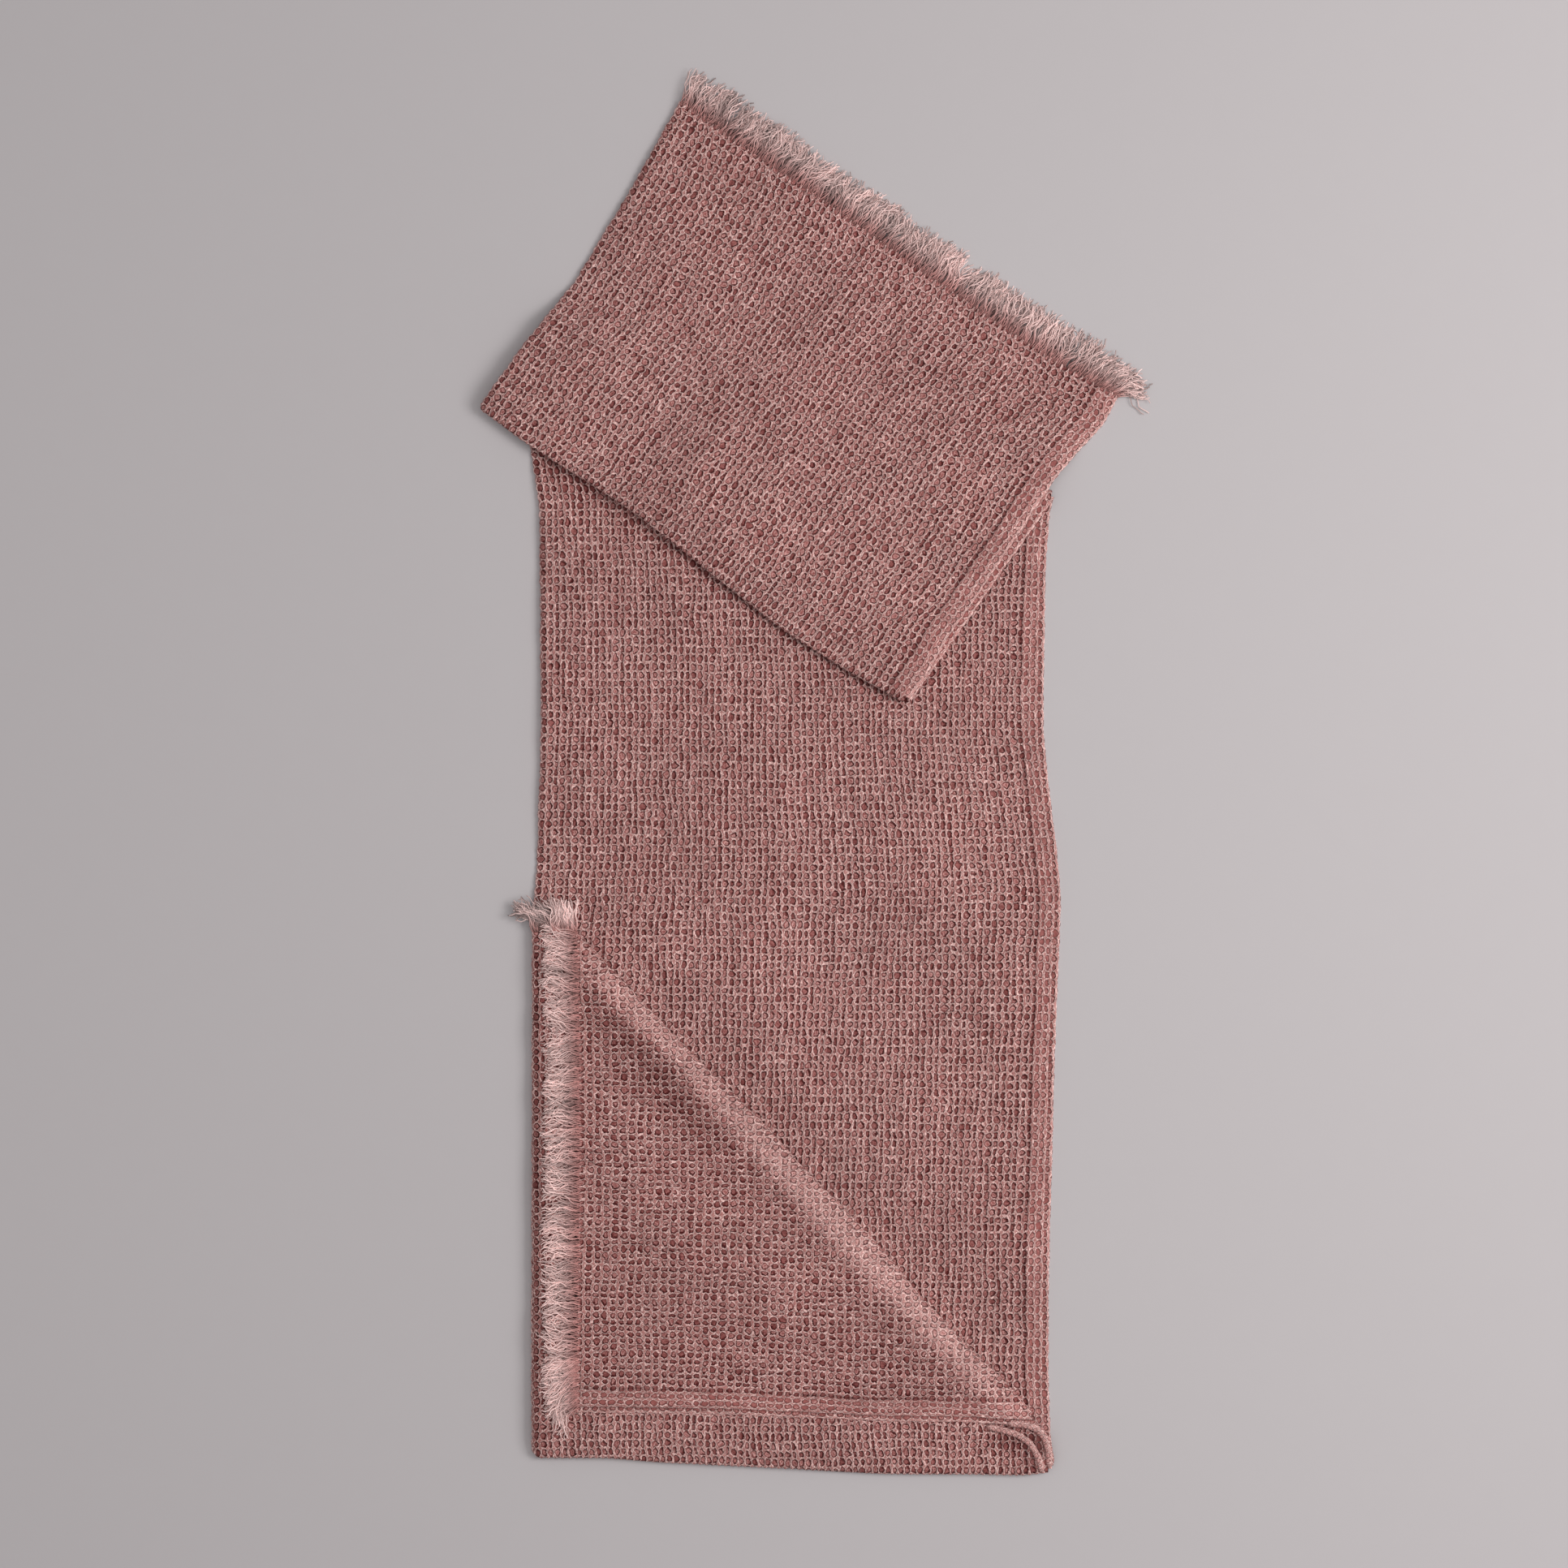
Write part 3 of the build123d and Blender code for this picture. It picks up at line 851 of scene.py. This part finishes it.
def cloth_material(name, walls, pits, brightness, pit_width=PIT_WIDTH, pit_height=PIT_HEIGHT):
    """Waffle cloth. walls and pits say how strong its light yarns, partly a painted highlight, and
    the painted shade of its pits are.
    """
    n = Nodes(name)
    uv = n.uv("weave")
    across, lengthwise = n.split(uv)
    shade, lightness = n.split(n.uv("shade"))
    wide = n.noises(uv, 1.1, 2.0)
    near = n.noises(uv, 3.0, 1.0)
    u = n.sum(across, (wide[0], 0.62), (near[0], 0.36))
    v = n.sum(lengthwise, (wide[1], 0.55), (near[1], 0.4))
    iu, iv = n.math("FLOOR", u), n.math("FLOOR", v)
    fu, fv = n.math("SUBTRACT", u, iu), n.math("SUBTRACT", v, iv)
    ru = n.product(n.math("ABSOLUTE", n.math("SUBTRACT", fu, 0.5)), 2.0)
    rv = n.product(n.math("ABSOLUTE", n.math("SUBTRACT", fv, 0.5)), 2.0)
    reach = n.sum(n.math("POWER", n.product(ru, 1 / pit_width), ROUNDNESS),
                  n.math("POWER", n.product(rv, 1 / pit_height), ROUNDNESS))
    reach = n.math("POWER", reach, 1 / ROUNDNESS)
    cell = n.chance(n.vector(iu, iv, 3.0))
    other = n.chance(n.vector(iu, iv, 21.0))
    reach = n.sum(reach, (other, 0.24), -0.1)
    wall = n.chance(n.vector(n.math("FLOOR", n.math("ADD", u, 0.5)), iv, 9.0))
    sides = n.math("SUBTRACT", ru, rv)

    # single yarns: their slubs both ways, and the fuzz of washed linen
    warp_yarn = n.noises(n.vector(n.product(u, 7.0), n.product(v, 1.3)), 1.0, 2.0, 0.55)
    weft_yarn = n.noises(n.vector(n.product(u, 1.3), n.product(v, 8.0)), 1.0, 2.0, 0.55)
    fuzz = n.noises(uv, 11.0, 3.0, 0.65)
    yarn = n.sum((warp_yarn[0], 1.1), (weft_yarn[0], 0.9), (fuzz[0], 1.3))

    # painted shade in the pit of each cell: a dark crescent on its +u side, away from the key
    # light, dark all through where the cell is narrow, and darker corners between cells
    pit = n.ramp(reach, 0.62, 1.0, 1.0, 0.0)
    narrow = n.ramp(n.sum(shade, (cell, 0.5), -0.25), 0.2, 0.9)
    crescent_shade = n.product(n.ramp(reach, 0.3, 0.7), n.ramp(fu, 0.3, 0.7, 0.2, 1.0))
    inner = n.product(n.ramp(reach, 0.2, 0.32), n.ramp(reach, 0.36, 0.5, 1.0, 0.0))
    deep_shade = n.product(pit, n.sum((narrow, 0.55), (crescent_shade, 1.1), (yarn, -0.9)))
    corner = n.product(n.ramp(reach, 1.42, 1.7), 0.4)
    dark = n.clamp(n.math("MAXIMUM", n.product(deep_shade, pits), corner))

    # light yarns that float round the pit, broken, and strongest on its long sides; their lightness
    # is partly a painted highlight on the walls' tops, and the shade map's lightness adds painted
    # light, such as the crest's
    rim = n.product(n.ramp(reach, 0.8, 0.94), n.ramp(reach, 1.08, 1.22, 1.0, 0.1))
    rim = n.product(rim, n.ramp(sides, -0.5, 0.5, 0.75, 1.0), n.sum((wall, 0.8), 0.7))
    rim = n.product(rim, n.ramp(warp_yarn[1], -0.24, 0.12, 0.2, 1.25))
    faint = n.product(inner, n.ramp(narrow, 0.2, 0.7, 0.4, 0.0))
    light = n.clamp(n.sum((rim, 1.15 * walls), faint, (yarn, 0.36), (lightness, 0.7)))

    colour = n.mix(n.product(pit, n.ramp(lightness, 0.0, 0.5, 1.0, 0.5)), BAND, SHADED_PIT)
    colour = n.mix(dark, colour, DEEP_PIT_SHADE)
    colour = n.mix(light, colour, LIGHT_YARN_AND_HIGHLIGHT)

    # worn and washed tone: patches, and streaks of single yarns both ways
    patches = n.noises(uv, 0.07, 3.0, 0.55)[0]
    warp_streak = n.noises(n.vector(u, n.product(v, 0.05)), 0.9, 2.0)[0]
    weft_streak = n.noises(n.vector(n.product(u, 0.05), v), 0.9, 2.0)[0]
    # the shade map's lightness lightens or darkens it: painted light and shade
    tone = n.sum((n.math("MINIMUM", lightness, 0.1), 0.9), brightness - 0.05, (cell, 0.1),
                 (patches, 0.42), (warp_streak, 0.42), (weft_streak, 0.18), (yarn, 0.25))
    coarse_bump = n.bump(n.sum((pit, -1.0), (rim, 0.4), (corner, -0.4)), 0.0012, 1.0)
    rough = n.ramp(n.sum(yarn, (light, -0.2)), -0.6, 0.6, 0.82, 0.96)
    n.surface(Base_Color=n.scale(colour, tone), Roughness=rough, Specular_IOR_Level=0.12,
              Normal=n.bump(yarn, 0.00024, 1.0, coarse_bump), Sheen_Weight=0.06,
              Sheen_Roughness=0.55, Sheen_Tint=(1.0, 0.86, 0.84, 1.0))
    return n.material


def thread_material(name, base, tip, twist):
    """Loose or sewn yarn: its plies, and a tone that changes from thread to thread."""
    n = Nodes(name)
    which, along = n.split(n.uv("weave"))
    lightness = n.split(n.uv("shade"))[1]
    own = n.chance(n.vector(n.math("FLOOR", n.math("ADD", which, 0.5)), 5.0))
    patch = n.noise(n.vector(n.product(which, 0.06), n.product(along, 1.5)), 1.0, 2.0)
    spot = n.noise(n.vector(which, n.product(along, 12.0)), 1.0, 2.0)
    colour = n.mix(n.ramp(along, 0.0, 0.7), base, tip)
    # lightness, from the shade map: painted shade on a fringe that lies lower, or painted light on
    # one on top
    tone = n.sum(lightness, 0.14, (own, 0.95), (patch, 0.55), (spot, 0.25))
    plies = n.math("SINE", n.product(along, twist))
    n.surface(Base_Color=n.scale(colour, tone), Normal=n.bump(plies, 0.00008, 0.6),
              Roughness=n.ramp(spot, 0.2, 0.8, 0.78, 0.95), Specular_IOR_Level=0.15,
              Sheen_Weight=0.12, Sheen_Tint=(1.0, 0.88, 0.86, 1.0))
    return n.material


WAFFLE = cloth_material("waffle_cloth", 1.0, 1.0, 1.0)
FLAP_WAFFLE = cloth_material("flap_waffle_cloth", 1.0, 1.0, 1.0, 0.95, 0.84)
HEM_CLOTH = cloth_material("hem_cloth", 0.85, 0.3, 1.04)
FRINGE_THREAD = thread_material("fringe_thread", srgb(176, 124, 119), srgb(236, 206, 201), 150.0)
SEWING_THREAD = thread_material("sewing_thread", srgb(206, 158, 152), srgb(206, 158, 152), 60.0)


# ---------------- the pieces

def place(piece, body, nodes):
    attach(piece, body)
    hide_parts(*nodes)


def blended(piece, nodes):
    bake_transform(piece)
    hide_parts(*nodes)


# of each run, its length range and the lines that cut it
LAYOUT = {
    "main": (main, (-428, 280), [bottom_main, one_main]),
    "middle": (middle, (-120, 420), [one_middle, two_middle]),
    "top": (top, (-240, top.end_at), [two_top]),
    "turn_up": (turn_up, (-6, turn_up.end_at), [bottom_turn_up, ridge_turn_up]),
    "flap": (flap, (-4, flap.end_at), [ridge_flap]),
}
RUN_NAMES = {entry[0]: name for name, entry in LAYOUT.items()}
SPLIT_MAIN = -18.5 * CELL_V  # by the turn-up's end, where the main run's upper layer is in two

companions = {}
sheets = {}
for run_name, (run, v_range, lines) in LAYOUT.items():
    for upper in (False, True):
        name = f"{run_name}_{'upper' if upper else 'lower'}"
        made = []
        parts = {"": v_range}
        if run is main and upper:
            parts = {"_far": (SPLIT_MAIN, v_range[1]), "_near": (v_range[0], SPLIT_MAIN)}
        for part, span in parts.items():
            piece = layer_piece(f"{name}{part}_cloth", run, upper, span, lines)
            place(piece, run.body, [f"{name}_layer"])
            made.append(piece)
        sheets[name] = made
        hem = hem_piece(f"{name}_hem_band", run, upper, v_range, lines)
        place(hem, run.body, [f"{name}_hem"])
        companions[name] = [hem]
    if run is not flap:
        spine = spine_piece(f"{run_name}_spine_roll", run, v_range, lines)
        place(spine, run.body, [f"{run_name}_spine_fold"])
        companions[f"{run_name}_upper"].append(spine)

# the edge that each fold shows from above
OUTLINES = {
    "bottom_fold": [(-174, -425.9), (-126.2, -425.9), (-97.3, -428.4), (-51.5, -430.9),
                    (0, -433.4), (50.1, -436), (98.8, -436), (137.4, -437), (146.1, -434)],
    "crease_one": [(-177.6, 277), (151.4, 179.5)],
    "crease_two": [(-209, 231.5), (-177, 207.6), (-117.1, 170.5), (-84.6, 144.6),
                   (-19.5, 92.8), (21.6, 66.9), (58.7, 46.6)],
    "ridge": [(-145.5, -100.2), (-131.3, -116.5), (-116.6, -130.2), (-97.3, -149.5),
              (-77.4, -170.8), (-51.5, -195.2), (-27.7, -219.1), (-7.3, -242.5),
              (12, -261.3), (33.3, -283.1), (54.1, -307.5), (79, -338.5), (93.7, -353.2),
              (108.5, -365.9), (120.2, -377.6), (130.8, -388.8), (139.5, -399.9)],
}
# of each fold, the run above it, the run below it, its line, and the bodies it joins
FOLDS = {
    "bottom_fold": (turn_up, main, bottom_turn_up, ("main_run", "turn_up")),
    "crease_one": (middle, main, one_middle, ("main_run", "middle_run")),
    "crease_two": (top, middle, two_top, ("middle_run", "top_run")),
    "ridge": (flap, turn_up, ridge_flap, ("turn_up", "corner_flap")),
}
for name, (run, under, line, bodies) in FOLDS.items():
    outline = np.array(OUTLINES[name])
    out_at = curve_through(np.stack([(outline - line.start) @ line.along,
                                     -line.distance(outline)], -1), 7.0)
    first, last = (RIDGE_START, WIDTH - 6) if run is flap else (0.0, WIDTH - 2)
    us = stops(first, last, CELL_U, FINE_U, run.offset[0])
    v, xy = along_line(run, us, line)
    start = (us, v, xy)
    out = np.maximum(out_at((xy - line.start) @ line.along), 1.8)
    outer = fold_piece(f"{name}_outer_cloth", run, line, start, out, (under, False),
                       (run, True), 13, OUTER_FOLD_RELIEF, open_end=run is flap)
    blended(outer, [f"{name}_outer_roll"])
    inner = fold_piece(f"{name}_inner_cloth", run, line, start, np.maximum(out - 2.6, 0.5),
                       (under, True), (run, False), 5, INNER_FOLD_RELIEF, open_end=True)
    blended(inner, [f"{name}_inner_roll"])
    companions[f"{RUN_NAMES[run]}_upper"].append(outer)
    companions[f"{RUN_NAMES[run]}_lower"].append(inner)

# fringes: run, outward, length, lean, fan (its width and its turn at the hem), range of the drop,
# span across the run, tone (painted shade or light, darkest on the lower layers' fringes), seed
FRINGES = {
    "top_upper": (top, (0.5526, 0.8335), 25.0, 0.1, (34, 0.7), (0.9, 3.6), (0.5, WIDTH), -0.06, 11),
    "top_lower": (top, (0.5526, 0.8335), 25.5, 0.1, (30, 1.5), (0.2, 0.9), (0.5, WIDTH), -0.2, 12),
    "flap_upper": (flap, (-1.0, 0.03), 24.5, -0.12, (60, -1.15), (1.0, 3.4), (24, WIDTH), 0.16, 21),
    "flap_lower": (flap, (-1.0, 0.03), 25.0, -0.05, (60, -0.9), (0.8, 2.2), (24, WIDTH), 0.04, 22),
    "turn_up_upper": (turn_up, (-0.1, 0.995), 22.0, -0.2, None, (-1.5, 0.6), (12.5, 27), 0.1, 31),
    "turn_up_lower": (turn_up, (-0.1, 0.995), 25.0, -0.5, None, (-2.4, -0.6), (0.5, 20), -0.3, 32),
}
for name, (run, outward, length, lean, fan, drops, span, tone, seed) in FRINGES.items():
    upper = name.endswith("upper")
    last = min(span[1], edge_width(run, upper) - 0.5)
    tuft = run is turn_up
    pitch, clump = (TUFT_PITCH, TUFT_CLUMP) if tuft else (FRINGE_PITCH, FRINGE_CLUMP)
    corner = fan[0] / 2 if fan else 0.0
    us, roots = fringe_roots(run, upper, (span[0], last), run.end_at, pitch, seed, corner)
    turned = fan[1] * smooth((us - WIDTH + fan[0]) / fan[0]) if fan else 0.0 * us
    drop = np.random.default_rng(seed).uniform(*drops, len(roots))
    if run is top and not upper:
        drop = np.maximum(drop, roots[:, 2] - 2.5)
    piece = fringe_piece(f"{name}_fringe_threads", roots, outward, length, drop, seed, lean,
                         turned, tone, clump)
    place(piece, run.body, [f"{name}_fringe"])
    companions[name].append(piece)

# the turn-up's hems curl over at the free corner
CURLS = {
    "turn_up_upper": ([(121, -402.6), (132, -403.4), (140.4, -406.2), (145.6, -412.6),
                       (147.8, -421), (148.6, -428.5), (147.4, -431.5)], (10.6, 6.8), 4.8),
    "turn_up_lower": ([(108, -404.8), (119, -407.4), (128, -410.2), (135.6, -415.4),
                       (140.6, -423.6), (143.4, -430.4), (142.4, -434.6)], (9.8, 6.2), 4.0),
}
for name, (points, heights, width) in CURLS.items():
    piece = curl_piece(f"{name}_hem_curl", points, heights, width)
    place(piece, "turn_up", [f"{name}_hem"])
    companions[name].append(piece)

# stitches: the hems' seams, and the rows that lock the fringes
SEAM_U = WIDTH - STAGGER - HEM + SEAM_INSET
for run_name, run, span, lines in (
    ("main", main, (-415, 168), [bottom_main, one_main]),
    ("top", top, (-230, 222), [two_top]),
    ("flap", flap, (6, 284), [ridge_flap]),
):
    v = np.arange(*span, STITCH_PITCH)
    row = stitch_piece(f"{run_name}_hem_thread", run, SEAM_U, v, False, lines)
    place(row, run.body, [f"{run_name}_hem_stitches"])
    companions[f"{run_name}_upper"].append(row)
for run_name, run, span in (
    ("top", top, (6, 316)),
    ("flap", flap, (30, 316)),
    ("turn_up", turn_up, (6, 27)),
):
    u = np.arange(*span, STITCH_PITCH)
    row = stitch_piece(f"{run_name}_fringe_thread_row", run, u, run.end_at - FRINGE_ROW_INSET,
                       True)
    place(row, run.body, [f"{run_name}_fringe_stitches"])
    companions[f"{run_name}_upper"].append(row)

# ---------------- flat size of each cloth layer, worked out but not used further


def flat_area(piece):
    """Width, length and area of the flat cut, from the cell coordinates, in metres."""
    mesh = piece.data
    uv = np.zeros(len(mesh.loops) * 2, np.float32)
    mesh.uv_layers["weave"].data.foreach_get("uv", uv)
    uv = uv.reshape(-1, 4, 2).astype(float) * (CELL_U * MM, CELL_V * MM)
    size = uv.reshape(-1, 2).max(0) - uv.reshape(-1, 2).min(0)
    d1, d2 = uv[:, 2] - uv[:, 0], uv[:, 3] - uv[:, 1]
    area = np.abs(d1[:, 0] * d2[:, 1] - d1[:, 1] * d2[:, 0]).sum() / 2
    return float(size[0]), float(size[1]), float(area)


for name, made in sheets.items():
    run_name = name.rsplit("_", 1)[0]
    for piece in made:
        width, length, area = flat_area(piece)

# ---------------- floor, light, camera

n = Nodes("floor")
spot = n.noise(n.node("ShaderNodeTexCoord").outputs["Object"], 60.0, 3.0)
pale = n.mix(n.product(spot, 0.25), srgb(192, 187, 188), srgb(187, 182, 183))
n.surface(Base_Color=pale, Roughness=0.75, Specular_IOR_Level=0.2)
floor_mesh = bpy.data.meshes.new("floor")
FLOOR = 15  # metres from the middle to an edge
floor_corners = [(-FLOOR, -FLOOR, 0), (FLOOR, -FLOOR, 0), (FLOOR, FLOOR, 0), (-FLOOR, FLOOR, 0)]
floor_mesh.from_pydata(floor_corners, [], [(0, 1, 2, 3)])
floor_mesh.materials.append(n.material)
floor = bpy.data.objects.new("floor", floor_mesh)
scene.collection.objects.link(floor)


def area_light(name, position, target, size, power, colour):
    light = bpy.data.lights.new(name, "AREA")
    light.shape = "SQUARE"
    light.size, light.energy, light.color = size, power, colour
    lamp = bpy.data.objects.new(name, light)
    lamp.location = position
    aim = np.array(target, float) - np.array(position, float)
    flat = math.hypot(aim[0], aim[1])
    lamp.rotation_euler = (math.atan2(flat, -aim[2]), 0, math.atan2(-aim[0], aim[1]))
    scene.collection.objects.link(lamp)


area_light("key", (1.5, 0.15, 1.5), (0.1, 0, 0), 1.0, 26, (1.0, 0.985, 0.98))
area_light("fill", (0.0, 0.0, 2.6), (0, 0, 0), 2.5, 13.5, (1.0, 0.99, 1.0))
world = bpy.data.worlds.new("studio")
world.use_nodes = True
background = world.node_tree.nodes["Background"].inputs
background["Color"].default_value = (1.0, 0.985, 0.99, 1.0)
background["Strength"].default_value = 0.4
scene.world = world
scene.view_settings.view_transform = "Standard"

camera_data = bpy.data.cameras.new("camera")
camera_data.lens = 85  # the camera is straight above, and frames the runner as the photo does
camera_data.sensor_width = 36
camera = bpy.data.objects.new("camera", camera_data)
camera.location = (-0.018, -0.0037, 2.322)
scene.collection.objects.link(camera)
scene.camera = camera
